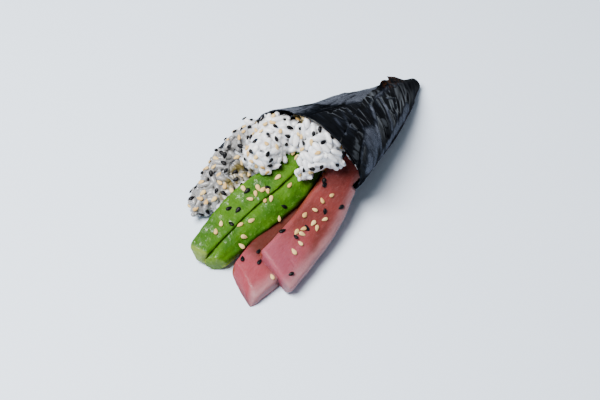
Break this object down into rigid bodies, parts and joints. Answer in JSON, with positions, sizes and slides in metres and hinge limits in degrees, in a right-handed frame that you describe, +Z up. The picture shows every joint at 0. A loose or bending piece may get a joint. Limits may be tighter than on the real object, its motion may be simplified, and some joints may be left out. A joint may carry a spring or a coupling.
{
  "type": "temaki hand roll",
  "caption": "Temaki hand roll lying on its side: a nori cone filled with rice, avocado slices and raw tuna strips that spill from its open mouth.",
  "frame": {"origin": "middle of the whole roll's bounding box, on the table it lies on", "axes": "+Z up; +X along the roll towards the closed tip of the cone, with the open mouth and the fillings towards -X; +Y to the side that the rice and the avocado lie on"},
  "size_m": [0.1556, 0.0724, 0.0441],
  "materials": {
    "nori": "dry, crinkled, with a soft sheen",
    "rice": "moist cooked grains",
    "tuna": "wet cut flesh, slightly translucent",
    "avocado": "smooth, oily cut flesh"
  },
  "bodies": {
    "root": {"nori": "nori", "rice": "rice", "tuna_lower": "tuna", "tuna_upper": "tuna", "avocado_right": "avocado", "avocado_left": "avocado"}
  },
  "joints": []
}
